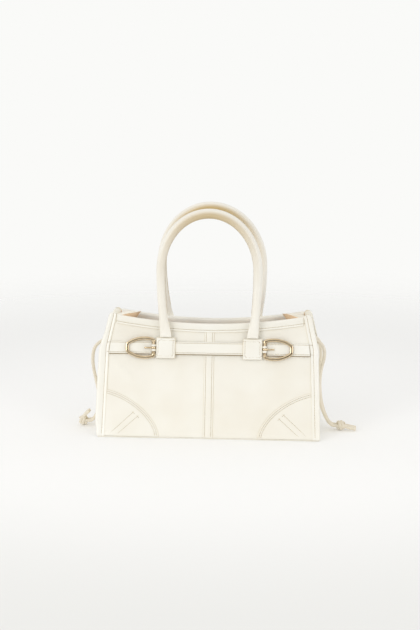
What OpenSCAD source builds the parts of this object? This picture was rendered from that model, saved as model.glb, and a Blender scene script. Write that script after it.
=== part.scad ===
// Structured top handle bag of smooth coated leather: two leaning panels, folded side gussets,
// two rolled handles, a belt with two buckles, and a knotted drawstring at each side.
// X runs to the right, -Y is the front and Z is up. The origin is at the middle of the base.

/* [Body] */
// Width of the base, over the side bindings
base_w = 300; // [260:1:340]
// Depth of the base, from front panel to rear panel
base_d = 120; // [110:1:140]
// Height of the top corners above the base
corner_h = 163; // [155:1:180]
// Depth of the mouth between the two panels' top edges
mouth_d = 44; // [36:1:56]
// How far each panel's side draws in from the base up to the belt
belt_draw_in = 4; // [2:0.5:8]
// How far each panel's side draws in from the base up to the top corner
top_draw_in = 14; // [10:0.5:20]
// How far the middle of the top edge dips below its corners
top_dip = 12.5; // [6:0.5:16]
// Thickness of the outer leather
leather_t = 1.6; // [1.2:0.1:2.2]
// Thickness of the lining
lining_t = 0.8; // [0.5:0.1:1.2]
// Thickness of the stiffener board in the base
board_t = 2; // [1:0.1:3]

/* [Trim] */
// Width of the bindings down the sides
side_band_w = 11; // [6:0.5:14]
// Depth of the bindings along the top
top_band_w = 12; // [8:0.5:15]
// How far a binding stands out from the panel
band_t = 1.4; // [0.8:0.1:2]
// Width of the corner patches along the base
patch_w = 84; // [50:1:100]
// Height of the corner patches
patch_h = 66; // [40:1:80]
// Thickness of the corner patches and of the centre strips
patch_t = 1; // [0.6:0.1:1.4]
// Width of the strip down the middle of a panel
strip_w = 13; // [8:0.5:20]

/* [Belt and buckles] */
// Height of the belt's lower edge, along the leaning panel
belt_v = 112; // [95:0.5:114]
// Width of the belt
belt_w = 18; // [14:0.5:22]
// Thickness of the belt
belt_t = 2; // [1.4:0.1:2.4]
// Thickness of the two end straps that pass under the buckles
end_strap_t = 2; // [1.4:0.1:2.2]
// Distance of each buckle bar from the middle of the bag
bar_u = 74.5; // [74.5:0.1:84]
// Radius of a buckle's bar
bar_r = 1.7; // [1.3:0.1:1.7]
// Height of a buckle frame over all
buckle_h = 30; // [27:0.5:34]
// Length of a buckle frame from its bar to the end of its toe, over all
buckle_l = 39.5; // [34:0.5:42]
// Width of a buckle frame's rail
rail_w = 4.2; // [3:0.1:4.4]
// Thickness of a buckle frame's rail
rail_t = 3.2; // [2.4:0.1:3.2]
// Length of a buckle's prong beyond its bar
prong_l = 13.2; // [9:0.1:16]
// Thickness of the leather loop that holds a buckle's bar
loop_t = 1.2; // [0.8:0.1:1.2]
// Width of that loop along the bar
loop_w = 9; // [7:0.5:14]

/* [Handles] */
// Distance from the middle of the bag to the middle of a handle tab
tab_u = 58.2; // [57:0.1:58.2]
// Width of a handle tab
tab_w = 26; // [20:0.5:26]
// Height of a handle tab
tab_h = 28; // [24:0.5:30]
// Thickness of a handle tab
tab_t = 3; // [2:0.1:3.4]
// Diameter of the rolled handle
handle_d = 11.8; // [9:0.1:12.4]
// How much thicker the handle is at its crown than at its feet, as a share
crown_swell = 0.12; // [0:0.01:0.16]
// Thickness of the handle's leather cover
cover_t = 1.3; // [1:0.1:1.8]
// Height of the front handle's middle line above its hinge line
handle_h = 163.2; // [140:0.1:180]
// Height of the rear handle's middle line above its hinge line
rear_handle_h = 171.4; // [142:0.1:182]
// Height above the hinge line at which a handle is widest
shoulder_h = 87; // [70:1:100]
// Half of the front handle's greatest width, to its middle line
shoulder_u = 64.6; // [62:0.1:70]
// Half of the rear handle's greatest width, to its middle line
rear_shoulder_u = 68.8; // [64:0.1:72]
// Backward lean of the front handle at rest, in degrees
front_lean = 1.6; // [0:0.1:3]
// Forward lean of the rear handle at rest, in degrees
rear_lean = 4.4; // [2:0.1:6]
// How far the rear handle bows forward from its feet to its crown
rear_bow = 22; // [0:0.5:35]
// Width of a handle's flattened end, where it meets its tab
end_w = 15; // [14:0.5:22]
// Thickness of a handle's flattened end
end_t = 6; // [5:0.5:7]
// Length of the flattened end
end_l = 25; // [20:1:30]

/* [Drawstring and inside] */
// Diameter of the drawstring
cord_d = 4.5; // [3.6:0.1:4.5]
// Depth of the eyelets below the gussets' top edge
eyelet_drop = 33.5; // [24:0.1:44]
// Outer diameter of an eyelet
eyelet_d = 10; // [8:0.5:11]
// Length of an eyelet through the gusset and its lining
eyelet_l = 4; // [3.5:0.1:5]
// Width of the slip pocket on the rear lining
pocket_w = 150; // [100:1:180]
// Height of the slip pocket
pocket_h = 90; // [60:1:95]
// Height of the slip pocket's foot, along the rear lining
pocket_v = 22; // [16:1:25]
// Diameter of the magnetic snap
snap_d = 18; // [14:0.5:20]
// Thickness of each half of the magnetic snap
snap_t = 2.4; // [1.6:0.1:3]
// Height of the snap's middle, along the panel
snap_v = 133; // [130:1:134]

/* [Hidden] */

// Clearance between pieces that are seated but not bonded
seat = 0.3;
// Running clearance of a buckle's loop and prong round its bar
run_gap = 0.08;
// How far a cut runs past what it cuts
over = 1;
facets = 64;

// The panels lean inward, so their own height runs along the slope
lean = atan((base_d - mouth_d) / 2 / corner_h);
corner_v = corner_h / cos(lean);
panel_v0 = leather_t * (1 + sin(lean)) / cos(lean);
lining_w = leather_t + seat;
lining_back = lining_w + lining_t;
lining_v0 = (leather_t + seat + lining_back * sin(lean)) / cos(lean);
panel_half = base_w / 2 - band_t;
belt_mid_v = belt_v + belt_w / 2;

// Half width of the panel at a height along the slope
function half_at(v) = v < belt_mid_v
    ? panel_half - belt_draw_in * v / belt_mid_v
    : panel_half - belt_draw_in
        - (top_draw_in - belt_draw_in) * (v - belt_mid_v) / (corner_v - belt_mid_v);
top_half = half_at(corner_v);
// Height of the top edge, a shallow parabola between the corners
function top_at(u) = corner_v - top_dip * (1 - pow(u / top_half, 2));
top_steps = 24;
function spread(lo, hi, n) = [for (i = [0:n]) lo + (hi - lo) * i / n];

// Places a flat outline on the front panel: X across, Y up the slope, Z out of the panel
module on_front() translate([0, -base_d / 2, 0]) rotate([90 - lean, 0, 0]) children();
module on_rear() mirror([0, 1, 0]) on_front() children();
module left_side() mirror([1, 0, 0]) children();
module layer(low, high) translate([0, 0, low]) linear_extrude(high - low) children();

// Panel outline, its sides drawn in by an inset and its top lowered by a drop
module panel_outline(v0, inset, drop) {
    sides = [[half_at(v0) - inset, v0], [half_at(belt_mid_v) - inset, belt_mid_v]];
    top = [for (u = spread(top_half - inset, -top_half + inset, top_steps)) [u, top_at(u) - drop]];
    polygon(concat(sides, top, [for (i = [1:-1:0]) [-sides[i].x, sides[i].y]]));
}

module panel() color("#f4eedf") layer(-leather_t, 0) panel_outline(panel_v0, 0, 0);
module lining() color("#dfc19a") layer(-lining_back, -lining_w)
    panel_outline(lining_v0, band_t, 0);

// Binding down the right side, lapped over the panel's face and round its edge, and at the
// top corner over the lining too
module side_strip(rows, outer, inner) {
    last = len(rows) - 1;
    polygon(concat([for (v = rows) [half_at(v) + outer, v]],
        [for (i = [last:-1:0]) [half_at(rows[i]) - inner, rows[i]]]));
}
band_wrap = lining_back + band_t;
band_inset = side_band_w - band_t;
side_rows = [panel_v0, belt_mid_v, corner_v];
lap_h = 10;
module side_binding() color("#f6f1e4") {
    layer(0, band_t) side_strip(side_rows, band_t, band_inset);
    layer(-band_wrap, 0) side_strip(side_rows, band_t, 0);
    layer(-band_wrap, -lining_back) side_strip([corner_v - lap_h, corner_v], 0, band_inset);
}

// Binding along the top edge, folded over the panel and its lining
module top_strip(above, below) {
    us = spread(-top_half + band_inset, top_half - band_inset, top_steps);
    polygon(concat([for (u = us) [u, top_at(u) - below]],
        [for (i = [top_steps:-1:0]) [us[i], top_at(us[i]) + above]]));
}
module top_binding() color("#f6f1e4") {
    layer(0, band_t) top_strip(band_t, top_band_w - band_t);
    layer(-lining_back, 0) top_strip(band_t, 0);
    layer(-band_wrap, -lining_back) top_strip(band_t, top_band_w - band_t);
}

// Rounded patch on the right lower corner: a quarter of a flattened ellipse about the corner
patch_steps = 24;
patch_power = 1.2;
module corner_patch() color("#f3ecdb") layer(0, patch_t) intersection() {
    polygon(concat([[panel_half, panel_v0]], [for (a = spread(0, 90, patch_steps))
        [base_w / 2 - patch_w * pow(cos(a), patch_power),
            panel_v0 + (patch_h - panel_v0) * pow(sin(a), patch_power)]],
        [[panel_half, patch_h]]));
    panel_outline(panel_v0, band_inset, top_dip);
}

strip_top = top_at(0) - top_band_w + band_t;
module centre_strip() color("#f3ecdb") layer(0, patch_t)
    translate([-strip_w / 2, panel_v0]) square([strip_w, strip_top - panel_v0]);

// The belt stands on the centre strip, between the two buckle loops or side bindings
belt_lift = patch_t;
belt_top = belt_lift + belt_t;
loop_inner_u = tab_u;
module belt(half) color("#f6f0e1") layer(belt_lift, belt_top)
    translate([-half, belt_v]) square([2 * half, belt_w]);

// Each end strap runs from the side binding under the buckle's toe to the bar
bar_w = end_strap_t + seat + rail_t / 2 + run_gap;
loop_r = bar_r + run_gap + loop_t;
strap_hole_r = 1.6;
prong_tip_w = end_strap_t / 2;
module end_strap() color("#f6f0e1") difference() {
    layer(0, end_strap_t) polygon([
        [bar_u + loop_r + seat, belt_v], [half_at(belt_v) - band_inset, belt_v],
        [half_at(belt_v + belt_w) - band_inset, belt_v + belt_w],
        [bar_u + loop_r + seat, belt_v + belt_w]]);
    translate([bar_u + prong_l - strap_hole_r, belt_mid_v, -over])
        cylinder(r = strap_hole_r, h = end_strap_t + 2 * over, $fn = facets);
}

// Middle line of the buckle's rail: corner, side and toe arcs that meet without a kink
rail_half = (buckle_h - rail_w) / 2;
toe_x = buckle_l - bar_r - rail_w / 2;
corner_r = 3;
side_r = 50;
toe_corner_r = 4;
corner_turn = 104;
side_turn = 60;
toe_turn = 4;
side_c = [corner_r - (side_r - corner_r) * cos(corner_turn), rail_half - side_r];
corner_c = [corner_r, side_c.y + (side_r - corner_r) * sin(corner_turn)];
toe_corner_c = side_c + (side_r - toe_corner_r) * [cos(side_turn), sin(side_turn)];
toe_r = toe_corner_r + toe_corner_c.y / sin(toe_turn);
toe_c = [toe_corner_c.x + (toe_corner_r - toe_r) * cos(toe_turn), 0];
// The arcs are drawn out a little so that the toe ends where the overall length says
toe_stretch = toe_x / (toe_c.x + toe_r);

function unit(v) = v / norm(v);
// Tube of changing section along a flat path. A section's points are [inward, sideways]
function path_dir(p, i) = unit(p[min(i + 1, len(p) - 1)] - p[max(i - 1, 0)]);
function section_ring(p, i, section) = let(t = path_dir(p, i))
    [for (s = section) [p[i].x - s.x * t.y, p[i].y + s.x * t.x, s.y]];
function wall_faces(rings, n) = [for (i = [0:rings - 2]) for (k = [0:n - 1])
    let(a = i * n + k, b = i * n + (k + 1) % n) each [[a, b + n, b], [a, a + n, b + n]]];
function end_faces(rings, n) =
    [[for (k = [0:n - 1]) k], [for (k = [n - 1:-1:0]) (rings - 1) * n + k]];
module flat_sweep(path, sections) {
    n = len(sections[0]);
    polyhedron([for (i = [0:len(path) - 1]) each section_ring(path, i, sections[i])],
        concat(wall_faces(len(path), n), end_faces(len(path), n)), convexity = 8);
}
function arc(centre, radius, from, to, n) =
    [for (a = spread(from, to, n)) centre + radius * [cos(a), sin(a)]];
function tail(points) = [for (i = [1:len(points) - 1]) points[i]];
function flipped(points) = [for (i = [len(points) - 1:-1:0]) [points[i].x, -points[i].y]];

// Cross-section of the rail: a flat band with round edges
rail_round = rail_t / 2;
rail_flat = (rail_w - rail_t) / 2;
rail_steps = 5;
rail_section = concat(
    [for (a = spread(-90, 90, rail_steps)) [rail_flat, 0] + rail_round * [cos(a), sin(a)]],
    [for (a = spread(90, 270, rail_steps)) [-rail_flat, 0] + rail_round * [cos(a), sin(a)]]);
rail_arcs = concat(arc(toe_c, toe_r, 0, toe_turn, 2),
    tail(arc(toe_corner_c, toe_corner_r, toe_turn, side_turn, 4)),
    tail(arc(side_c, side_r, side_turn, corner_turn, 5)),
    tail(arc(corner_c, corner_r, corner_turn, 180, 5)));
half_rail = [for (p = rail_arcs) [p.x * toe_stretch, p.y]];
rail_path = concat(flipped(tail(half_rail)), half_rail);
module buckle() color("#d8bd8c") translate([bar_u, belt_mid_v, bar_w]) {
    flat_sweep(rail_path, [for (p = rail_path) rail_section]);
    rotate([-90, 0, 0]) translate([0, 0, -corner_c.y - rail_round])
        cylinder(r = bar_r, h = 2 * (corner_c.y + rail_round), $fn = facets);
}

prong_w = 2.8;
// Leather loop round the middle of the buckle's bar, with a slot for the prong's eye
slot_half = prong_w / 2 + seat;
module buckle_loop() color("#f3ecdb") difference() {
    translate([bar_u, belt_mid_v - loop_w / 2, 0]) union() {
        translate([0, 0, bar_w]) rotate([-90, 0, 0]) cylinder(r = loop_r, h = loop_w, $fn = facets);
        translate([loop_inner_u + seat - bar_u, 0, belt_lift])
            cube([bar_u - loop_inner_u - seat - bar_r, loop_w, belt_t]);
    }
    translate([bar_u, belt_mid_v - loop_w / 2 - over, bar_w]) rotate([-90, 0, 0])
        cylinder(r = bar_r + run_gap, h = loop_w + 2 * over, $fn = facets);
    translate([bar_u - loop_r - seat, belt_mid_v - slot_half, -over])
        cube([2 * (loop_r + seat), 2 * slot_half, bar_w + loop_r + 2 * over]);
}

// Prong: an eye round the bar, a straight shank above the strap, and a tip down into its hole
shank_r = 1;
shank_rise = 1.4;
tip_x = prong_l - strap_hole_r;
module prong() color("#d8bd8c") translate([bar_u, belt_mid_v, bar_w]) difference() {
    union() {
        translate([0, prong_w / 2, 0]) rotate([90, 0, 0]) cylinder(r = loop_r, h = prong_w, $fn = facets);
        translate([0, 0, shank_rise]) rotate([0, 90, 0]) cylinder(r = shank_r, h = tip_x, $fn = facets);
        translate([tip_x, 0, shank_rise]) sphere(r = shank_r, $fn = facets);
        translate([tip_x, 0, prong_tip_w - bar_w])
            cylinder(r = shank_r, h = bar_w - prong_tip_w + shank_rise, $fn = facets);
    }
    translate([0, prong_w / 2 + over, 0]) rotate([90, 0, 0])
        cylinder(r = bar_r + run_gap, h = prong_w + 2 * over, $fn = facets);
}

// Handle tab sewn over the belt, its bevelled top edge under the handle's hinge line
tab_v = belt_v - (tab_h - belt_w) / 2;
tab_w0 = belt_top;
tab_w1 = tab_w0 + tab_t;
bevel = 2;
module tab() color("#f6f1e4") translate([tab_u - tab_w / 2, 0, 0]) rotate([90, 0, 90])
    linear_extrude(tab_w) polygon([[tab_v, tab_w0], [tab_v + tab_h, tab_w0],
        [tab_v + tab_h, tab_w1 - bevel], [tab_v + tab_h - bevel, tab_w1], [tab_v, tab_w1]]);

// Hinge line of a handle, in panel heights and then in the bag's own frame
knuckle_r = end_t / 2;
hinge_v = tab_v + tab_h + seat + knuckle_r;
hinge_w = tab_w1;
hinge_y = -base_d / 2 + hinge_v * sin(lean) - hinge_w * cos(lean);
hinge_z = hinge_v * cos(lean) + hinge_w * sin(lean);

// Middle line of a handle: a leg's shallow arc runs without a kink into half an oval arch.
// A handle's size is the half of its greatest width, its height, and how far it bows forward.
handle_r = handle_d / 2;
front_size = [shoulder_u, handle_h, 0];
rear_size = [rear_shoulder_u, rear_handle_h, rear_bow];
function bow(size, h) = size.z * pow(max(0, h) / size.y, 2);
function leg_rise(size) = size.x - tab_u;
function leg_r(size) = (pow(leg_rise(size), 2) + pow(shoulder_h, 2)) / (2 * leg_rise(size));
function leg_turn(size, h) = -asin((shoulder_h - h) / leg_r(size));
function leg(size, low, high, n) = arc([size.x - leg_r(size), shoulder_h], leg_r(size),
    leg_turn(size, low), leg_turn(size, high), n);
leg_steps = 6;
arch_steps = 10;
function arch(size) = [for (a = spread(0, 90, arch_steps))
    [size.x * cos(a), shoulder_h + (size.y - shoulder_h) * sin(a)]];
function mirrored(points) = [for (i = [len(points) - 2:-1:0]) [-points[i].x, points[i].y]];
// The rolled part runs over the arch from a height on one leg to the same height on the other
function roll_path(size, low) = let(half = concat(leg(size, low, shoulder_h, leg_steps), tail(arch(size))))
    concat(half, mirrored(half));
// The roll swells towards its crown
function swollen(path, size, section) = [for (p = path) let(swell = 1 + crown_swell * pow(p.y / size.y, 3))
    [for (q = section) swell * q + [0, bow(size, p.y)]]];
// The cover is wrapped round its core and closed by a stitched seam on the inside of the bend
seam_turn = asin(seat / handle_r);
cover_steps = 13;
cover_turns = spread(seam_turn, 360 - seam_turn, cover_steps);
cover_section = concat([for (a = cover_turns) handle_r * [cos(a), sin(a)]],
    [for (i = [cover_steps:-1:0]) (handle_r - cover_t) * [cos(cover_turns[i]), sin(cover_turns[i])]]);
module handle_cover(size) color("#efe7d6") {
    path = roll_path(size, end_l);
    rotate([90, 0, 0]) flat_sweep(path, swollen(path, size, cover_section));
}

// A flattened end widens from the round roll down to a rounded edge on the hinge line
end_steps = 7;
end_sides = 20;
edge_turns = spread(-80, 0, 3);
function end_path(size) = concat([for (a = edge_turns) [tab_u, knuckle_r * sin(a)]],
    tail(leg(size, 0, end_l, end_steps)));
function roundness(h) = let(k = min(1, max(0, h / end_l))) k * k * (3 - 2 * k);
function end_half(h) = [end_w / 2 + (handle_r - end_w / 2) * roundness(h), h < 0
    ? sqrt(pow(knuckle_r, 2) - pow(h, 2))
    : knuckle_r + (handle_r - knuckle_r) * roundness(h)];
function end_section(size, h) = let(half = end_half(h)) [for (k = [0:end_sides - 1])
    [half.x * cos(360 * k / end_sides), half.y * sin(360 * k / end_sides) + bow(size, h)]];
module handle_ends(size) color("#efe7d6") for (side = [0, 1]) mirror([side, 0, 0])
    rotate([90, 0, 0]) flat_sweep(end_path(size), [for (p = end_path(size)) end_section(size, p.y)]);
core_r = handle_r - cover_t - seat;
core_sides = 12;
core_section = [for (k = [0:core_sides - 1])
    core_r * [cos(360 * k / core_sides), sin(360 * k / core_sides)]];
module handle_core(size) color("#cfc6b2") {
    path = roll_path(size, end_l + seat);
    rotate([90, 0, 0]) flat_sweep(path, swollen(path, size, core_section));
}
module front_hinge() translate([0, hinge_y, hinge_z]) rotate([-front_lean, 0, 0]) children();
module rear_hinge() translate([0, -hinge_y, hinge_z]) rotate([rear_lean, 0, 0]) children();

// Gusset: a sheet from panel to panel, folded inward more and more towards the top.
// Heights are shares of the corner height, and depths are named sizes. Its top edge falls
// towards the panels, below the laps of the side bindings.
fold_top = 36;
fold_belt = 19;
fold_low = 8;
gusset_z0 = leather_t + seat;
gusset_top_share = 0.985;
gusset_fall = 10;
fall_power = 4;
gusset_z1 = corner_h * gusset_top_share;
eyelet_z = gusset_z1 - eyelet_drop;
fold_low_share = 0.25;
fold_power = 1.6;
gusset_rows = 12;
gusset_cols = 12;
gusset_edge_gap = lining_back / cos(lean) + seat;
function gusset_depth(z) = base_d / 2 - z * tan(lean) - gusset_edge_gap;
function fold_at(z) = z < fold_low_share * corner_h
    ? fold_low * z / (fold_low_share * corner_h)
    : z < eyelet_z
        ? fold_low + (fold_belt - fold_low) * pow((z - fold_low_share * corner_h)
            / (eyelet_z - fold_low_share * corner_h), 2)
        : fold_belt + (fold_top - fold_belt) * (z - eyelet_z) / (gusset_z1 - eyelet_z);
// Share is -1 at the front panel, 0 in the fold and 1 at the rear panel
function gusset_x(share, z) = half_at(z / cos(lean)) - seat
    - fold_at(z) * (1 - pow(abs(share), fold_power));
function gusset_point(share, z, inset) =
    [gusset_x(share, z) - inset, share * gusset_depth(z), z];
function gusset_top(share) = gusset_z1 - gusset_fall * pow(abs(share), fall_power);
function sheet_points(z0, inset) = [for (row = spread(0, 1, gusset_rows))
    for (share = spread(-1, 1, gusset_cols))
        gusset_point(share, z0 + (gusset_top(share) - z0) * row, inset)];
module gusset_sheet(z0, outer, inner) {
    n = gusset_cols + 1;
    count = n * (gusset_rows + 1);
    outer_faces = [for (r = [0:gusset_rows - 1]) for (c = [0:gusset_cols - 1])
        each [[r * n + c, (r + 1) * n + c, r * n + c + 1],
              [r * n + c + 1, (r + 1) * n + c, (r + 1) * n + c + 1]]];
    inner_faces = [for (f = outer_faces) [f[2] + count, f[1] + count, f[0] + count]];
    bottom = [for (c = [0:gusset_cols - 1]) [c, c + 1, c + 1 + count, c + count]];
    top_row = gusset_rows * n;
    top = [for (c = [0:gusset_cols - 1])
        [top_row + c + 1, top_row + c, top_row + c + count, top_row + c + 1 + count]];
    front = [for (r = [0:gusset_rows - 1])
        [(r + 1) * n, r * n, r * n + count, (r + 1) * n + count]];
    last = gusset_cols;
    rear = [for (r = [0:gusset_rows - 1])
        [r * n + last, (r + 1) * n + last, (r + 1) * n + last + count, r * n + last + count]];
    polyhedron(concat(sheet_points(z0, outer), sheet_points(z0, inner)),
        concat(outer_faces, inner_faces, bottom, top, front, rear), convexity = 6);
}

// Eyelets: one towards each panel, square to the folded sheet
eyelet_share = 0.6;
eyelet_y = eyelet_share * gusset_depth(eyelet_z);
eyelet_x = gusset_x(eyelet_share, eyelet_z);
eyelet_slope = atan(fold_belt * fold_power * pow(eyelet_share, fold_power - 1)
    / gusset_depth(eyelet_z));
bore_r = cord_d / 2 + run_gap;
gusset_t = 1.2;
gusset_lining_in = gusset_t + seat;
eyelet_in = gusset_lining_in + lining_t + seat;
module eyelet_axis(side) translate([eyelet_x, side * eyelet_y, eyelet_z])
    rotate([0, 0, -side * eyelet_slope]) rotate([0, 90, 0]) children();
eyelet_cut = 2 * eyelet_l;
module eyelet_holes() for (side = [-1, 1]) eyelet_axis(side)
    translate([0, 0, -eyelet_cut]) cylinder(d = eyelet_d + 2 * seat, h = 2 * eyelet_cut, $fn = facets);
module eyelets() color("#d8bd8c") for (side = [-1, 1]) eyelet_axis(side)
    translate([0, 0, -eyelet_in]) difference() {
        cylinder(d = eyelet_d, h = eyelet_l, $fn = facets);
        translate([0, 0, -over]) cylinder(r = bore_r, h = eyelet_l + 2 * over, $fn = facets);
    }
module gusset() color("#f1eadb") difference() {
    gusset_sheet(gusset_z0, 0, gusset_t);
    eyelet_holes();
}
module gusset_lining() color("#dfc19a") difference() {
    gusset_sheet(gusset_z0 + leather_t, gusset_lining_in, gusset_lining_in + lining_t);
    eyelet_holes();
}

// A cord is one tube along its own points, with a ring of corners at each point
cord_sides = 10;
cord_r = cord_d / 2;
function ring(p, i, across) = let(t = path_dir(p, i), a = unit(cross(t, across)), b = cross(t, a))
    [for (k = [0:cord_sides - 1]) p[i] + cord_r * (cos(360 * k / cord_sides) * a
        + sin(360 * k / cord_sides) * b)];
module tube(p, across) polyhedron([for (i = [0:len(p) - 1]) each ring(p, i, across)],
    concat(wall_faces(len(p), cord_sides), end_faces(len(p), cord_sides)), convexity = 8);

// The cord's hidden stretch lies along the inside of the gusset's lining, eyelet to eyelet
inner_in = gusset_lining_in + lining_t + seat + cord_r;
eyelet_out = [cos(eyelet_slope), sin(eyelet_slope)];
function eyelet_point(side, along) =
    [eyelet_x + along * eyelet_out.x, side * (eyelet_y - along * eyelet_out.y), eyelet_z];
inner_deep = eyelet_in + cord_d;
// Where the inner cord and a free cord meet, inside the eyelet
exit_in = eyelet_l - eyelet_in - cord_r;
inner_fold = gusset_x(0, eyelet_z) - inner_in - cord_d;
function inner_route() = concat(
    [eyelet_point(-1, exit_in), eyelet_point(-1, -inner_deep)],
    [[inner_fold, -cord_d, eyelet_z], [inner_fold, cord_d, eyelet_z]],
    [eyelet_point(1, -inner_deep), eyelet_point(1, exit_in)]);
module inner_cord() color("#efe6d2") tube(inner_route(), [0, 0, 1]);

// Free stretches of the cords, from each eyelet down to the knot, as chosen points.
// The first point of each follows from its eyelet, and the last two run square into the knot.
right_front_points = [[141, -12, 127], [146.5, -12.5, 125], [150.8, -13, 121], [153.4, -13.5, 115],
    [154, -13.5, 108], [152.8, -13.5, 100], [150.6, -13, 91], [149, -12.5, 81], [148.3, -12, 70],
    [148.3, -10.5, 58], [149.2, -9, 46], [151, -7.5, 35], [154.5, -6, 25], [158.5, -5, 16.5],
    [163, -4, 10], [167.3, -3, 7.3]];
left_front_points = [[141, -12.5, 125], [146.5, -13.5, 123], [151.5, -14.5, 120], [156, -15, 115.5],
    [159, -15.5, 108.5], [160.3, -15.5, 100], [160.3, -15, 90], [159, -14.5, 80], [157, -13, 69],
    [155, -11.5, 57], [154, -10, 45], [154, -8, 34], [156, -6, 23.5], [159.5, -5, 15],
    [163.5, -4, 9.5], [167.5, -3, 7.2]];
rear_points = [[141, 12, 126.5], [145.5, 13, 123], [148, 13.5, 117], [149, 14, 109],
    [149.2, 14.5, 99], [148.8, 15, 88], [148.3, 16, 76], [148.2, 16.5, 63], [148.8, 15.5, 51],
    [150.2, 13.5, 39], [153, 11, 28], [156.6, 8.5, 18.5], [161, 6, 11], [166, 4, 7.6]];
knot_z = 7;
knot_x = 171;
knot_gap = 3;
function free_route(side, points) = concat(
    [eyelet_point(side, exit_in), eyelet_point(side, exit_in + cord_d)], points,
    [[knot_x, side * knot_gap, knot_z]]);
module free_cord(side, points) color("#efe6d2") tube(free_route(side, points), [0, 1, 0]);

// Overhand knot of both cords, lying on the ground, with two short tails: on the right they
// lie outward on the ground, and on the left they stand up and back
knot_l = 13;
knot_end_r = 6;
tail_l = 17;
tail_spread = 7;
right_tail_turn = 104;
left_tail_turn = -35;
right_tail_x = knot_l - cord_r;
left_tail_x = knot_l / 2;
module knot(tail_x, tail_turn) color("#efe6d2") translate([knot_x, 0, knot_z]) {
    rotate([0, 90, 0]) rotate_extrude($fn = facets)
        polygon([[0, 0], [knot_end_r, 0], [knot_z, knot_l / 4], [knot_z, knot_l * 3 / 4],
            [knot_end_r, knot_l], [0, knot_l]]);
    for (side = [-1, 1]) translate([tail_x, side * knot_gap, 0])
        rotate([0, tail_turn, side * tail_spread]) cylinder(r = cord_r, h = tail_l, $fn = facets);
}

// Inside: lined base over a board, slip pocket, and the two halves of a magnetic snap
module base_sheet(low, high, inset) {
    half_w = panel_half - inset;
    half_d = base_d / 2 - inset;
    translate([-half_w, -half_d, low]) cube([2 * half_w, 2 * half_d, high - low]);
}
board_inset = 8;
module base_panel() color("#ede4d2") base_sheet(0, leather_t, seat);
module base_board() color("#9a8a70") base_sheet(leather_t, leather_t + board_t, board_inset);
module base_lining() color("#dfc19a")
    base_sheet(leather_t + board_t, leather_t + board_t + lining_t, board_inset);
module pocket() color("#d9bb93") layer(-lining_back - lining_t, -lining_back)
    translate([-pocket_w / 2, pocket_v]) square([pocket_w, pocket_h]);
snap_pin_r = 3;
module snap_half() color("#d8bd8c") translate([0, snap_v, -lining_back - snap_t])
    cylinder(d = snap_d, h = snap_t, $fn = facets);
module snap_socket() difference() {
    snap_half();
    translate([0, snap_v, -lining_back - snap_t - over])
        cylinder(r = snap_pin_r + seat, h = snap_t / 2 + over, $fn = facets);
}
module snap_stud() {
    snap_half();
    color("#d8bd8c") translate([0, snap_v, -lining_back - snap_t * 3 / 2])
        cylinder(r = snap_pin_r, h = snap_t / 2, $fn = facets);
}

rear_belt_half = half_at(belt_v + belt_w) - band_inset;

base_panel();
base_board();
base_lining();
on_front() panel();  // front_panel
on_rear() panel();  // rear_panel
on_front() lining();  // front_lining
on_rear() lining();  // rear_lining
left_side() gusset();  // left_gusset
gusset();  // right_gusset
left_side() gusset_lining();  // left_gusset_lining
gusset_lining();  // right_gusset_lining
on_front() top_binding();  // front_top_binding
on_rear() top_binding();  // rear_top_binding
left_side() on_front() side_binding();  // front_left_binding
on_front() side_binding();  // front_right_binding
left_side() on_rear() side_binding();  // rear_left_binding
on_rear() side_binding();  // rear_right_binding
on_front() centre_strip();  // front_centre_strip
on_rear() centre_strip();  // rear_centre_strip
left_side() on_front() corner_patch();  // front_left_corner_patch
on_front() corner_patch();  // front_right_corner_patch
left_side() on_rear() corner_patch();  // rear_left_corner_patch
on_rear() corner_patch();  // rear_right_corner_patch
on_front() belt(loop_inner_u);  // front_belt
on_rear() belt(rear_belt_half);  // rear_belt
left_side() on_front() end_strap();  // left_end_strap
on_front() end_strap();  // right_end_strap
left_side() on_front() buckle_loop();  // left_buckle_loop
on_front() buckle_loop();  // right_buckle_loop
left_side() on_front() buckle();  // left_buckle
on_front() buckle();  // right_buckle
left_side() on_front() prong();  // left_prong
on_front() prong();  // right_prong
left_side() on_front() tab();  // front_left_tab
on_front() tab();  // front_right_tab
left_side() on_rear() tab();  // rear_left_tab
on_rear() tab();  // rear_right_tab
front_hinge() handle_cover(front_size);  // front_handle_cover
rear_hinge() handle_cover(rear_size);  // rear_handle_cover
front_hinge() handle_core(front_size);  // front_handle_core
rear_hinge() handle_core(rear_size);  // rear_handle_core
front_hinge() handle_ends(front_size);  // front_handle_ends
rear_hinge() handle_ends(rear_size);  // rear_handle_ends
left_side() eyelets();  // left_eyelets
eyelets();  // right_eyelets
left_side() inner_cord();  // left_inner_cord
inner_cord();  // right_inner_cord
left_side() free_cord(-1, left_front_points);  // left_front_cord
left_side() free_cord(1, rear_points);  // left_rear_cord
free_cord(-1, right_front_points);  // right_front_cord
free_cord(1, rear_points);  // right_rear_cord
left_side() knot(left_tail_x, left_tail_turn);  // left_knot
knot(right_tail_x, right_tail_turn);  // right_knot
on_rear() pocket();  // slip_pocket
on_front() snap_stud();  // front_snap
on_rear() snap_socket();  // rear_snap
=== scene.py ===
import math
import bmesh
import bpy
from mathutils import Matrix, Vector, noise


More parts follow.
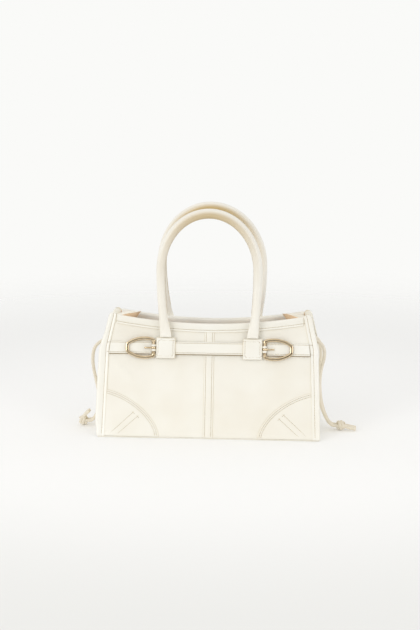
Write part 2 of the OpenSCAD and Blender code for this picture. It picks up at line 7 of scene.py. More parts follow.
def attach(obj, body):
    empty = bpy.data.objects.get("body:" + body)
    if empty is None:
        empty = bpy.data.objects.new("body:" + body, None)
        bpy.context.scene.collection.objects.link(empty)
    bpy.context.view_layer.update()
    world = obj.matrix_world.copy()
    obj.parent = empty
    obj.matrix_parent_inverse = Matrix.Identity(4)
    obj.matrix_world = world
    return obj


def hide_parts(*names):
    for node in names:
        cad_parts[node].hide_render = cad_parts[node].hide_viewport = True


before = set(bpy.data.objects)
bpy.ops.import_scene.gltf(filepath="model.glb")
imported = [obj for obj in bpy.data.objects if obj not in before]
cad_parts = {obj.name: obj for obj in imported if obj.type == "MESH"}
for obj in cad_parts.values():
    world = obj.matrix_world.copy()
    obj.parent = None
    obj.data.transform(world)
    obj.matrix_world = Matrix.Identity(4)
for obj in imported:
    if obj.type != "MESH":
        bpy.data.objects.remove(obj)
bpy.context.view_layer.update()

# Camera: a long lens on the bag's front, a little to its right and above it, as in the photograph.
# No roll and no shift, and the whole bag sits in the middle of the tall frame.
def new_object(name, data):
    """An object of some data, linked into the scene."""
    made = bpy.data.objects.new(name, data)
    bpy.context.scene.collection.objects.link(made)
    return made


aim = Vector((0.00154, -0.0400, 0.16526))
turn, rise, reach = math.radians(4.5), math.radians(11.0), 1.9
camera_data = bpy.data.cameras.new("camera")
camera_data.lens = 81.8
camera_data.sensor_width = 36.0
camera_data.clip_start = 0.05
camera = new_object("camera", camera_data)
camera.location = aim + reach * Vector(
    (math.sin(turn) * math.cos(rise), -math.cos(turn) * math.cos(rise), math.sin(rise)))
camera.rotation_euler = (aim - camera.location).to_track_quat("-Z", "Y").to_euler()
bpy.context.scene.camera = camera


# Drawstrings: on each side one soft ivory cord, round, 4.5 mm, with a coated skin over a core.
# Both ends leave the gusset by an eyelet, arch out, hang, and lie on the ground to one knot.
def linear(hex_colour):
    """The linear values of an sRGB hex colour."""
    parts = [int(hex_colour[i:i + 2], 16) / 255 for i in (1, 3, 5)]
    return [c / 12.92 if c <= 0.04045 else ((c + 0.055) / 1.055) ** 2.4 for c in parts] + [1.0]


def add(tree, kind, settings, links=None):
    """One node. Settings in lower case are its own, and the others are inputs, as are links."""
    node = tree.nodes.new(kind)
    for key, value in settings.items():
        if isinstance(key, str) and key[0].islower():
            setattr(node, key, value)
        else:
            node.inputs[key].default_value = value
    for key, source in (links or {}).items():
        tree.links.new(source, node.inputs[key])
    return node


def blank_material(name):
    """A new material, its empty tree and the place on the object that its patterns read."""
    material = bpy.data.materials.new(name)
    material.use_nodes = True
    tree = material.node_tree
    tree.nodes.clear()
    return material, tree, add(tree, "ShaderNodeTexCoord", {}).outputs["Object"]


def coated_leather(name, face, shade, rim, rough, grain_mm, grain_depth_mm):
    """Leather with a smooth polyurethane coat: a faint pebble under a semi-gloss skin that clouds
    softly, in patches about 55 mm wide, and takes its rim colour where the rim attribute is set:
    yellowed edges, and on the handles' crowns and the straps' lower edges, painted shade."""
    material, tree, place = blank_material(name)
    cloud = add(tree, "ShaderNodeTexNoise", {"Scale": 1000 / 55, "Detail": 2.0}, {"Vector": place})
    spread = add(tree, "ShaderNodeMapRange", {"From Min": 0.3, "From Max": 0.7},
                 {"Value": cloud.outputs["Fac"]})
    tone = add(tree, "ShaderNodeMix", {"data_type": "RGBA", 6: linear(face), 7: linear(shade)},
               {0: spread.outputs["Result"]})
    edge = add(tree, "ShaderNodeAttribute", {"attribute_name": "rim"})
    # The rim colour: yellowed edges, and where a piece's rim carries it, painted shade
    wear_and_painted_shade = add(tree, "ShaderNodeMix", {"data_type": "RGBA", 7: linear(rim)},
               {0: edge.outputs["Fac"], 6: tone.outputs[2]})
    pebble = add(tree, "ShaderNodeTexVoronoi", {"feature": "SMOOTH_F1", "Scale": 1000 / grain_mm,
                 "Smoothness": 0.6}, {"Vector": place})
    bumps = add(tree, "ShaderNodeBump", {"Strength": 0.5, "Distance": grain_depth_mm / 1000},
                {"Height": pebble.outputs["Distance"]})
    # Slack in the coated skin, in soft swells about 35 mm apart
    slack = add(tree, "ShaderNodeTexNoise", {"Scale": 1000 / 35, "Detail": 1.0}, {"Vector": place})
    soft = add(tree, "ShaderNodeBump", {"Strength": 0.35, "Distance": 0.0012},
               {"Height": slack.outputs["Fac"], "Normal": bumps.outputs["Normal"]})
    gloss = add(tree, "ShaderNodeMapRange", {"From Min": 0.3, "From Max": 0.7,
                "To Min": rough - 0.04, "To Max": rough + 0.05}, {"Value": slack.outputs["Fac"]})
    skin = add(tree, "ShaderNodeBsdfPrincipled", {"IOR": 1.5, "Coat Weight": 0.2,
               "Coat Roughness": 0.22}, {"Base Color": wear_and_painted_shade.outputs[2],
               "Roughness": gloss.outputs["Result"], "Normal": soft.outputs["Normal"]})
    add(tree, "ShaderNodeOutputMaterial", {}, {"Surface": skin.outputs[0]})
    return material


cord_leather = coated_leather("coated_cord", "#f1eadb", "#e7dcc5", "#d2c2a0", 0.46, 0.9, 0.05)


def build(name, parts, material, nodes=(), body="bag", crease=50, ladder=False,
          closed=False):
    """One piece from lofted parts. A part is a list of rings, and a ring's points are (place, rim).
    ladder fills a sheet's ends with quads, and closed joins a part's last ring to its first."""
    mesh = bmesh.new()
    rim = mesh.verts.layers.float.new("rim")
    for rings in parts:
        rows = []
        for ring in rings:
            row = []
            for point, weight in ring:
                vert = mesh.verts.new(point)
                vert[rim] = weight
                row.append(vert)
            rows.append(row)
        n = len(rows[0])
        for i in range(len(rows) if closed else len(rows) - 1):
            low, high = rows[i], rows[(i + 1) % len(rows)]
            for k in range(n):
                mesh.faces.new((low[k], low[(k + 1) % n], high[(k + 1) % n], high[k]))
        if not closed:
            for row in (rows[0], rows[-1]):
                if ladder:
                    for k in range(n // 2 - 1):
                        mesh.faces.new((row[k], row[k + 1], row[n - 2 - k], row[n - 1 - k]))
                else:
                    mesh.faces.new(row)
    bmesh.ops.recalc_face_normals(mesh, faces=mesh.faces)
    data = bpy.data.meshes.new(name)
    mesh.to_mesh(data)
    mesh.free()
    return finish_piece(name, data, body, material, nodes, crease)


def finish_piece(name, data, body, material=None, nodes=(), crease=50):
    """The object of a mesh, smooth but for its creases, with its body, slot and CAD nodes."""
    data.shade_smooth()
    data.set_sharp_from_angle(angle=math.radians(crease))
    if material:
        data.materials.append(material)
    piece = new_object(name, data)
    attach(piece, body)
    if nodes:
        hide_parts(*nodes)
    return piece


def heading(path, i):
    """The direction of a path at its point i."""
    return (path[min(i + 1, len(path) - 1)] - path[max(i - 1, 0)]).normalized()


def tube_rings(path, radii):
    """Rings of 14 points along a free path, carried on without a twist."""
    rings, side_way = [], None
    for i, point in enumerate(path):
        along = heading(path, i)
        if side_way is None:
            side_way = along.orthogonal().normalized()
        side_way = (side_way - along * side_way.dot(along)).normalized()
        other = along.cross(side_way)
        rings.append([(point + radii[i] * (math.cos(a) * side_way + math.sin(a) * other), 0.0)
                      for a in [2 * math.pi * k / 14 for k in range(14)]])
    return rings


def smooth_path(points):
    """Four points a step on a soft curve through every given point."""
    result = []
    for i in range(len(points) - 1):
        a, b = points[max(i - 1, 0)], points[i]
        c, d = points[i + 1], points[min(i + 2, len(points) - 1)]
        for k in range(4):
            t = k / 4
            result.append(0.5 * ((2 * b) + (c - a) * t + (2 * a - 5 * b + 4 * c - d) * t * t
                                 + (3 * b - a - 3 * c + d) * t ** 3))
    return result + [points[-1]]


cord_d = 0.0045
eyelet_front = [(131.0, -16.9, 127), (134.5, -14.1, 127)]
eyelet_rear = [(131.0, 16.9, 127), (134.5, 14.1, 127)]
right_front_route = eyelet_front + [
    (141, -12, 127), (146.5, -12.5, 125), (150.8, -13, 121), (153.4, -13.5, 115),
    (154, -13.5, 108), (152.8, -13.5, 100), (150.6, -13, 91), (149, -12.5, 81), (148.3, -12, 70),
    (148.3, -10.5, 58), (149.2, -9, 46), (151, -7.5, 35), (154.5, -6, 25), (158.5, -5, 16.5),
    (163, -4, 10), (167.3, -3, 7.3), (171, -3, 7)]
left_front_route = eyelet_front + [
    (141, -12.5, 125), (146.5, -13.5, 123), (151.5, -14.5, 120), (156, -15, 115.5),
    (159, -15.5, 108.5), (160.3, -15.5, 100), (160.3, -15, 90), (159, -14.5, 80), (157, -13, 69),
    (155, -11.5, 57), (154, -10, 45), (154, -8, 34), (156, -6, 23.5), (159.5, -5, 15),
    (163.5, -4, 9.5), (167.5, -3, 7.2), (171, -3, 7)]
rear_route = eyelet_rear + [
    (141, 12, 126.5), (145.5, 13, 123), (148, 13.5, 117), (149, 14, 109), (149.2, 14.5, 99),
    (148.8, 15, 88), (148.3, 16, 76), (148.2, 16.5, 63), (148.8, 15.5, 51), (150.2, 13.5, 39),
    (153, 11, 28), (156.6, 8.5, 18.5), (161, 6, 11), (166, 4, 7.6), (171, 3, 7)]

# The knot's two strands run through side by side, wrap once round themselves, and leave as tails:
# on the right they lie outward on the floor, and on the left they stand up and back
knot_x, knot_z = 171, 7
wrap_r, wrap_start, wrap_length = 4.6, 2.4, 8.2
sides = (("left", -1), ("right", 1))
right_tail = [(8.5, 2.7, 7), (11, 3.1, 6.6), (15, 3.6, 5.7), (20, 4.3, 4.4), (24, 4.8, 3.5),
              (27, 5.1, 2.8)]
left_tail = [(7.2, 2.5, 8.3), (7, 2.7, 10.4), (5.2, 3.0, 13.2), (2.9, 3.2, 16.2), (0.2, 3.5, 18.9),
             (-2.6, 3.7, 21)]
for side_name, side in sides:
    parts = []
    for strand in (-1, 1):
        run = [Vector((side * (knot_x + x), strand * y, z)) / 1000 for x, y, z in
               [(0, 3.0, knot_z), (2, 2.9, knot_z), (5, 2.4, knot_z)]
               + (right_tail if side > 0 else left_tail)]
        path = smooth_path(run)
        parts.append(tube_rings(path, [cord_d / 2] * (len(path) - 1) + [0.002]))
        lap = []
        for k in range(31):
            share = k / 30
            angle = math.radians(-150 + 400 * share) + (math.pi if strand > 0 else 0)
            out = wrap_r - 2.2 * (abs(2 * share - 1) ** 6)
            lap.append(Vector((side * (knot_x + wrap_start + wrap_length * share),
                               out * math.cos(angle), knot_z + out * math.sin(angle))) / 1000)
        parts.append(tube_rings(lap, [cord_d / 2] * len(lap)))
    knot = build(side_name + "_cord_knot", parts, cord_leather,
                 [side_name + "_knot"])
    for end_name, route in (("front", right_front_route if side > 0 else left_front_route),
                            ("rear", rear_route)):
        name = side_name + "_" + end_name + "_drawstring"
        line = bpy.data.curves.new(name, "CURVE")
        line.dimensions = "3D"
        line.bevel_depth = cord_d / 2
        line.bevel_resolution = 5
        line.resolution_u = 6
        spline = line.splines.new("BEZIER")
        spline.bezier_points.add(len(route) - 1)
        for knot_point, (x, y, z) in zip(spline.bezier_points, route):
            knot_point.co = (side * x / 1000, y / 1000, z / 1000)
            knot_point.handle_left_type = knot_point.handle_right_type = "AUTO"
        line.materials.append(cord_leather)
        drawstring = new_object(name, line)
        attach(drawstring, "bag")
        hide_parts(side_name + "_" + end_name + "_cord")

# Stage: a plain pale floor that fades into the pale room, under one broad soft light from the
# window side and two soft boxes, the left one stronger.
floor_mesh = bmesh.new()
bmesh.ops.create_circle(floor_mesh, cap_ends=True, radius=4.0, segments=96)
floor_data = bpy.data.meshes.new("floor")
floor_mesh.to_mesh(floor_data)
floor_mesh.free()
floor = new_object("floor", floor_data)
floor_paint, tree, spot = blank_material("matt_floor_paint")
far = add(tree, "ShaderNodeVectorMath", {"operation": "LENGTH"}, {0: spot})
fade = add(tree, "ShaderNodeMapRange", {"From Min": 0.4, "From Max": 1.4,
           "interpolation_type": "SMOOTHSTEP"}, {"Value": far.outputs["Value"]})
# The floor is a white sweep: round the bag its paint glows a little, painted light, and the glow
# fades out in front, where the paint is a little darker, painted shade
near = add(tree, "ShaderNodeMapRange", {"From Min": 0.3, "From Max": 0.85, "To Min": 0.085,
           "To Max": 0.0, "interpolation_type": "SMOOTHSTEP"}, {"Value": far.outputs["Value"]})
depth = add(tree, "ShaderNodeSeparateXYZ", {}, {0: spot})
front = add(tree, "ShaderNodeMapRange", {"From Min": -0.2, "From Max": -0.8,
            "interpolation_type": "SMOOTHSTEP"}, {"Value": depth.outputs["Y"]})
# Painted shade: the floor's white is a little darker in front
floor_white_with_painted_shade = add(tree, "ShaderNodeMix", {"data_type": "RGBA", 6: linear("#f8f8f7"),
            7: linear("#eaeae7")}, {0: front.outputs["Result"]})
paint = add(tree, "ShaderNodeBsdfPrincipled", {"Roughness": 1.0, "Specular IOR Level": 0.0,
            "Emission Color": (1.0, 1.0, 0.99, 1.0)}, {"Base Color": floor_white_with_painted_shade.outputs[2],
            "Emission Strength": near.outputs["Result"]})
clear = add(tree, "ShaderNodeBsdfTransparent", {})
both = add(tree, "ShaderNodeMixShader", {}, {0: fade.outputs["Result"], 1: paint.outputs[0],
           2: clear.outputs[0]})
add(tree, "ShaderNodeOutputMaterial", {}, {"Surface": both.outputs[0]})
floor_data.materials.append(floor_paint)

room = bpy.data.worlds.new("pale_room")
room.use_nodes = True
tree = room.node_tree
tree.nodes.clear()
seen = add(tree, "ShaderNodeLightPath", {}).outputs["Is Camera Ray"]
# The unlit side of the room behind the camera gives the metal something dark to reflect
way = add(tree, "ShaderNodeTexCoord", {}).outputs["Generated"]
axes = add(tree, "ShaderNodeSeparateXYZ", {}, {0: way})
behind = add(tree, "ShaderNodeMapRange", {"From Min": -0.985, "From Max": -0.8, "To Min": 0.05,
             "interpolation_type": "SMOOTHSTEP"}, {"Value": axes.outputs["Y"]})
glow = add(tree, "ShaderNodeMath", {"operation": "MULTIPLY", 1: 0.84},
           {0: behind.outputs["Result"]})
lit = add(tree, "ShaderNodeBackground", {"Color": (1.0, 0.995, 0.985, 1.0)},
          {"Strength": glow.outputs[0]})
backdrop = add(tree, "ShaderNodeBackground", {"Color": linear("#fafaf8")})
either = add(tree, "ShaderNodeMixShader", {}, {0: seen, 1: lit.outputs[0], 2: backdrop.outputs[0]})
add(tree, "ShaderNodeOutputWorld", {}, {"Surface": either.outputs[0]})
bpy.context.scene.world = room
for name, kind, power, size, spot_at in (
        ("window", "SUN", 0.3, math.radians(60), (-0.55, -1.0, 0.5)),
        ("left_softbox", "AREA", 8.5, 0.8, (-1.3, -1.9, 0.8)),
        ("right_softbox", "AREA", 5.5, 0.8, (1.5, -1.7, 0.7))):
    lamp = bpy.data.lights.new(name, kind)
    lamp.energy = power
    setattr(lamp, "angle" if kind == "SUN" else "size", size)
    lamp_object = new_object(name, lamp)
    lamp_object.location = spot_at
    lamp_object.rotation_euler = (Vector((0, 0, 0.12)) - Vector(spot_at)).to_track_quat(
        "-Z", "Y").to_euler()
bpy.context.scene.view_settings.view_transform = "Standard"

# Panels: the front and rear of the bag, cut from stiffened coated leather, leaning in to the mouth.
# Each is a soft sheet that bellies out a little below the belt. All trim is laid on it.
base_depth, mouth_depth, corner_h = 120, 44, 163
lean = math.atan((base_depth - mouth_depth) / 2 / corner_h)
corner_v = corner_h / math.cos(lean)
panel_v0, belt_mid = 2.0, 121.0
panel_half, low_taper, high_taper = 148.6, 4, 10
leather_t, lining_front, lining_back = 1.6, 1.9, 2.7
mouth_dip, edge_sag, rear_sag = 12.5, 1.7, 2.0
belly_half, belly_top, belly_deep, wave_deep = 142, 112, 1.3, 0.55


def half_at(v):
    """Half the width of a wall at a height up it, in mm."""
    if v < belt_mid:
        return panel_half - low_taper * v / belt_mid
    return panel_half - low_taper - high_taper * (v - belt_mid) / (corner_v - belt_mid)


def top_at(u, place):
    """The mouth's edge dips between the corners, and has sagged below its cut line, most in the
    middle of the rear."""
    dip = 1 - (u / half_at(corner_v)) ** 2
    return corner_v - mouth_dip * dip - edge_sag - (rear_sag * dip if place is at_rear else 0.0)


def at_front(u, v, w):
    """A place on the front panel, in mm: across it, up it, and out from its skin."""
    return Vector((u, -base_depth / 2 + v * math.sin(lean) - w * math.cos(lean),
                   v * math.cos(lean) + w * math.sin(lean))) / 1000


def at_rear(u, v, w):
    """The same place on the rear panel."""
    front = at_front(u, v, w)
    return Vector((front.x, -front.y, front.z))


walls = (("front", at_front), ("rear", at_rear))


def fullness(u, v):
    """How far the skin bellies out, in mm: most in the lower middle, nothing at the edges."""
    inner = max(0.0, 1 - (u / belly_half) ** 2)
    low = math.sin(math.pi * max(0, v / belly_top)) if v < belly_top else 0.0
    ends = min(1.0, max(0.0, v - panel_v0) / 25, max(0.0, 168 - v) / 30)
    wave = (noise.noise(Vector((u / 48, v / 40, 3.1)))
            + 0.4 * noise.noise(Vector((u / 19, v / 23, 7))))
    # Where the panel is turned in over the base it stands out in a narrow lip
    lip = 0.8 * math.exp(-((v - 4.2) / 1.9) ** 2)
    # Two soft creases on the left run down and inward from the side
    crease = 0.0
    for start, end, deep in (((-127, 99), (-99, 78), 0.8), ((-127, 150), (-112, 143), 0.5)):
        along = Vector(end) - Vector(start)
        gone = (Vector((u, v)) - Vector(start)).dot(along) / along.length_squared
        off = (Vector((u, v)) - Vector(start) - gone * along).length
        crease += deep * math.exp(-(off / 3.2) ** 2 - (2.2 * (gone - 0.5)) ** 4)
    return (belly_deep * inner ** 0.5 * low + wave_deep * wave * min(1.0, 3 * inner) * ends
            + lip + crease)


body_leather = coated_leather("coated_body_leather", "#f6f3e9", "#f1ecdf", "#e6d9ba", 0.34, 1.1,
                              0.04)
trim_leather = coated_leather("coated_trim_leather", "#f8f6ee", "#f4f0e4", "#ebdfc4", 0.32, 1.1,
                              0.04)


def slab(surface, outer, inner, rows, cols):
    """Rings of a sheet: its surface is a function of two shares and of which side it is."""
    rings = []
    for r in range(rows + 1):
        ring = [(surface(c / cols, r / rows, outer), 0.0) for c in range(cols + 1)]
        rings.append(ring + [(surface(c / cols, r / rows, inner), 0.0)
                             for c in range(cols, -1, -1)])
    return rings


def panel_point(place, s, t, w, inset, drop):
    """A point of a wall's sheet by two shares, inset from its sides and dropped from its top."""
    v = panel_v0 + (corner_v - panel_v0) * t
    u = (2 * s - 1) * (half_at(v) - inset)
    top = top_at(u, place) - drop
    v = panel_v0 + (top - panel_v0) * t
    return place(u, v, w + fullness(u, v))


for face, place in walls:
    build(face + "_panel_leather", [slab(
        lambda s, t, w: panel_point(place, s, t, w, 0, 0), 0, -leather_t, 66, 110)],
        body_leather, [face + "_panel"], ladder=True)

# Base: a stiff leather floor over a board, its outer skin turned in at the edges.
# The board is the CAD node and can't be seen under the lining.
base_half_x, base_half_y = 148.3, 59.7


def base_point(s, t, z, inset, soft=0.0):
    """A point of a flat sheet by two shares, uneven by up to soft."""
    x = (2 * s - 1) * (base_half_x - inset)
    y = (2 * t - 1) * (base_half_y - inset)
    return Vector((x, y, z + soft * noise.noise(Vector((x / 30, y / 30, 1.0))))) / 1000


base_outline = ((0, 0), (0.02, 0), (0.5, 0), (0.98, 0), (1, 0), (1, 0.5), (1, 1), (0.98, 1),
                (0.5, 1), (0.02, 1), (0, 1), (0, 0.5))
turned_edge = ((0, 0.8), (0.12, 0.35), (0.4, 0), (1.2, 0), (1.5, 0.35), (leather_t, 0.8))
build("base_leather", [[[(base_point(s, t, z, inset), 0.0) for s, t in base_outline]
                        for z, inset in turned_edge]],
      body_leather, ["base_panel"])

# Lining: tan cotton twill, glued to the inside of every wall. It shows at the mouth,
# where the gussets fold in.
lining_cloth, tree, place_in = blank_material("tan_cotton_twill")
patch = add(tree, "ShaderNodeTexNoise", {"Scale": 1000 / 40, "Detail": 3.0}, {"Vector": place_in})
tan = add(tree, "ShaderNodeMix", {"data_type": "RGBA", 6: linear("#ffe6c6"), 7: linear("#fbd9b0")},
          {0: patch.outputs["Fac"]})
# Twill ribs are drawn 1.2 mm apart, twice the real spacing, so that they show
twill = add(tree, "ShaderNodeTexWave", {"wave_type": "BANDS", "bands_direction": "DIAGONAL",
            "Scale": 1000 / 1.2 / 6.28, "Distortion": 0.4, "Detail": 1.0}, {"Vector": place_in})
rib = add(tree, "ShaderNodeBump", {"Strength": 0.4, "Distance": 0.00012},
          {"Height": twill.outputs["Fac"]})
cloth = add(tree, "ShaderNodeBsdfPrincipled", {"Roughness": 0.85, "Sheen Weight": 0.15},
            {"Base Color": tan.outputs[2], "Normal": rib.outputs["Normal"]})
add(tree, "ShaderNodeOutputMaterial", {}, {"Surface": cloth.outputs[0]})

for face, place in walls:
    build(face + "_lining_cloth", [slab(
        lambda s, t, w: panel_point(place, s, t, w, 1.4, 0.3), -lining_front, -lining_back,
        44, 60)], lining_cloth, [face + "_lining"], ladder=True)
build("base_lining_cloth", [slab(
    lambda s, t, layer: base_point(s, t, *layer), (4.6, 8.3, 0.25), (3.65, 8.3), 24, 60)],
    lining_cloth, ["base_lining"], ladder=True)

# Gussets: the two ends, flat at the base and folded inward towards the top, softly pleated
# where the drawstring gathers them. Leather outside and lining inside follow the same fold.
gusset_z0, gusset_z1, eyelet_z = 1.9, 160.56, 127.06
low_z, low_fold, eyelet_fold, top_fold = 40.75, 8, 19, 36
gusset_t, gusset_lining, corner_fall = 1.2, (1.5, 2.3), 10


def fold_at(z):
    """How far the middle of a gusset is folded in at a height, in mm."""
    if z < low_z:
        return low_fold * z / low_z
    if z < eyelet_z:
        return low_fold + (eyelet_fold - low_fold) * ((z - low_z) / (eyelet_z - low_z)) ** 2
    return eyelet_fold + (top_fold - eyelet_fold) * (z - eyelet_z) / (gusset_z1 - eyelet_z)


def gusset_point(side, s, t, inset, z0):
    """A point of a gusset's sheet by two shares, inset from its skin; z0 is its lower edge."""
    share = 2 * s - 1
    # The rear half's edge has slumped a little, and the front half's waves
    slump = 2.2 * max(0.0, share) ** 0.5 + 0.5 * (1 + math.sin(9 * share + side)) - 1.2
    top = gusset_z1 - corner_fall * share ** 4 - slump * (1 - share ** 4)
    z = z0 + (top - z0) * t
    depth = base_depth / 2 - z * math.tan(lean) - (lining_back / math.cos(lean) + 0.3)
    x = half_at(z / math.cos(lean)) - 0.3 - fold_at(z) * (1 - abs(share) ** 1.6)
    pleat = 0.9 * math.sin(math.pi * share / 0.3) * (z / gusset_z1) ** 4 * (1 - share ** 2)
    slack = 0.6 * noise.noise(Vector((share * 2.5, z / 28, side * 5))) * (1 - share ** 4)
    return Vector((side * (x - inset + pleat + slack), share * depth, z)) / 1000


for side_name, side in sides:
    build(side_name + "_gusset_leather", [slab(
        lambda s, t, inset: gusset_point(side, s, t, inset, gusset_z0), 0, gusset_t, 60, 48)],
        body_leather, [side_name + "_gusset"], ladder=True)
    build(side_name + "_gusset_lining_cloth", [slab(
        lambda s, t, inset: gusset_point(side, s, t, inset, gusset_z0 + 1.6), *gusset_lining,
        60, 48)],
        lining_cloth, [side_name + "_gusset_lining"], ladder=True)

# Stitching: waxed ivory thread, 4.4 mm a stitch, sunk half into the leather, with a dark bead
# after each stitch, painted shade of its needle hole. One tree lays them along any seam.
def speckled(name, low, high, speck_mm, rough, detail=2.0):
    """A dull finish in two close tones that change over the size of its fibres or pores."""
    material, tree, spot = blank_material(name)
    specks = add(tree, "ShaderNodeTexNoise", {"Scale": 1000 / speck_mm, "Detail": detail},
                 {"Vector": spot})
    tones = add(tree, "ShaderNodeMix", {"data_type": "RGBA", 6: linear(low), 7: linear(high)},
                {0: specks.outputs["Fac"]})
    dull = add(tree, "ShaderNodeBsdfPrincipled", {"Roughness": rough},
               {"Base Color": tones.outputs[2]})
    add(tree, "ShaderNodeOutputMaterial", {}, {"Surface": dull.outputs[0]})
    return material


thread = speckled("waxed_polyester_thread", "#d9cdb2", "#c4b593", 0.8, 0.6)
hole_shade_bead = speckled("needle_hole_painted_shade", "#a8976f", "#8f7d55", 3, 0.9)

stitch_row = bpy.data.node_groups.new("stitch_row", "GeometryNodeTree")
stitch_inputs = (("Pitch", "Float", 0.0044), ("Length", "Float", 0.0031),
                 ("Thickness", "Float", 0.0007), ("Hole", "Float", 0.0012), ("Seed", "Int", 7),
                 ("Thread", "Material", thread), ("Shade", "Material", hole_shade_bead))
stitch_row.interface.new_socket("Seams", in_out="INPUT", socket_type="NodeSocketGeometry")
for label, kind, value in stitch_inputs:
    stitch_row.interface.new_socket(label, in_out="INPUT", socket_type="NodeSocket" + kind)
stitch_row.interface.new_socket("Stitches", in_out="OUTPUT", socket_type="NodeSocketGeometry")
given = add(stitch_row, "NodeGroupInput", {}).outputs
spaced = add(stitch_row, "GeometryNodeResampleCurve", {"mode": "LENGTH"},
             {"Curve": given["Seams"], "Length": given["Pitch"]})
grain_ball = add(stitch_row, "GeometryNodeMeshUVSphere",
                 {"Segments": 6, "Rings": 4, "Radius": 0.5})
stitch = add(stitch_row, "GeometryNodeJoinGeometry", {})
# A strand at each point, and half a pitch ahead of it a dark bead, painted shade of the hole
for length, paint, pitches in (("Length", "Thread", 0.0), ("Hole", "Shade", 0.5)):
    ahead = add(stitch_row, "ShaderNodeMath", {"operation": "MULTIPLY", 1: pitches},
                {0: given["Pitch"]})
    bead_place = add(stitch_row, "ShaderNodeCombineXYZ", {}, {"X": ahead.outputs[0]})
    bead_size = add(stitch_row, "ShaderNodeCombineXYZ", {},
                    {"X": given[length], "Y": given["Thickness"], "Z": given["Thickness"]})
    bead = add(stitch_row, "GeometryNodeTransform", {}, {"Geometry": grain_ball.outputs["Mesh"],
               "Translation": bead_place.outputs[0], "Scale": bead_size.outputs[0]})
    painted = add(stitch_row, "GeometryNodeSetMaterial", {},
                  {"Geometry": bead.outputs[0], "Material": given[paint]})
    stitch_row.links.new(painted.outputs[0], stitch.inputs[0])
along = add(stitch_row, "FunctionNodeAlignRotationToVector", {"axis": "X"},
            {"Vector": add(stitch_row, "GeometryNodeInputTangent", {}).outputs[0]})
laid = add(stitch_row, "GeometryNodeInstanceOnPoints", {}, {"Points": spaced.outputs[0],
           "Instance": stitch.outputs[0], "Rotation": along.outputs[0]})
tilt = add(stitch_row, "FunctionNodeRandomValue", {"data_type": "FLOAT_VECTOR",
           "Min": (-0.05, -0.05, -0.05), "Max": (0.05, 0.05, 0.05)}, {"Seed": given["Seed"]})
uneven = add(stitch_row, "GeometryNodeRotateInstances", {},
             {"Instances": laid.outputs[0], "Rotation": tilt.outputs[0]})
real = add(stitch_row, "GeometryNodeRealizeInstances", {}, {0: uneven.outputs[0]})
add(stitch_row, "NodeGroupOutput", {}, {"Stitches": real.outputs[0]})


def stitched(name, seams, body="bag"):
    """One piece of stitches along seams, each a list of places."""
    line = bpy.data.curves.new(name + "_seams", "CURVE")
    line.dimensions = "3D"
    for seam in seams:
        spline = line.splines.new("POLY")
        spline.points.add(len(seam) - 1)
        for point, place_at in zip(spline.points, seam):
            point.co = (*place_at, 1)
    guide = new_object(name + "_seams", line)
    sewing = guide.modifiers.new("sewing", "NODES")
    sewing.node_group = stitch_row
    sockets = {item.name: item.identifier for item in stitch_row.interface.items_tree}
    for label, kind, value in stitch_inputs:
        sewing[sockets[label]] = value
    data = bpy.data.meshes.new_from_object(
        guide.evaluated_get(bpy.context.evaluated_depsgraph_get()))
    data.name = name
    bpy.data.objects.remove(guide)
    return finish_piece(name, data, body)


# Edge bindings: one strip of leather folded over each side seam, and one over each top edge.
# A binding is lapped over the panel's face, rounded round its edge, and stitched.
def fold_profile(reach_in, wrap, thick, turn_r, groove, lip):
    """Closed outline of a folded strip, as (distance in from the edge, height, rim)."""
    face = [(reach_in, 0, 1.0), (reach_in, thick * 0.6, 0.8),
            (reach_in - 0.35, thick + lip * 0.7, 0.2), (reach_in - 1.1, thick + lip, 0)]
    face += [(groove + 1.0, thick + lip * 0.5, 0), (groove, thick - 0.35 - lip, 0),
             (groove - 1.0, thick, 0)]
    for k in range(9):
        angle = math.pi / 2 * k / 8
        face.append((-thick + turn_r - turn_r * math.sin(angle),
                     thick - turn_r + turn_r * math.cos(angle), 0))
    return face + [(-thick, -wrap * 0.6, 0), (-thick + 0.5, -wrap, 0)]


trim_t, wrap_back, on_lining = 1.4, 4.1, lining_back + 0.05
side_reach, side_groove = 9.6, 5.4
top_reach, top_groove = 10.6, 7.6
side_rows = [panel_v0 + (corner_v - panel_v0) * k / 40 for k in range(38)]
side_rows += [corner_v - d for d in (10, 9.99, 8, 5, 3.5, 2.4, 1.5, 0.7, 0.2, 0)]
side_profile = fold_profile(side_reach, wrap_back, trim_t, 3.0, side_groove, 0.1)


def eased(x):
    """A share held between 0 and 1, with a soft start and end."""
    x = min(1, max(0, x))
    return x * x * (3 - 2 * x)


def pulled_out(v):
    """How far the cord's pull has rolled the front left binding outward, in mm."""
    return 3.3 * eased(v / 26) * eased((152 - v) / 44)


def settled(v, place):
    """The top 12 mm of the rear bindings have settled by up to 1.8 mm."""
    return v - (1.8 * max(0.0, (v - corner_v + 12) / 12) ** 2 if place is at_rear else 0.0)


def rounded_end(d, v):
    """Both corners of a side binding's top end are cut round."""
    share = min(1, max(0, (v - corner_v + 5) / 5))
    gone = 1 - math.sqrt(1 - 0.96 * share * share)
    return d - gone * max(0, d - 4.6) + gone * max(0, 1.6 - d)


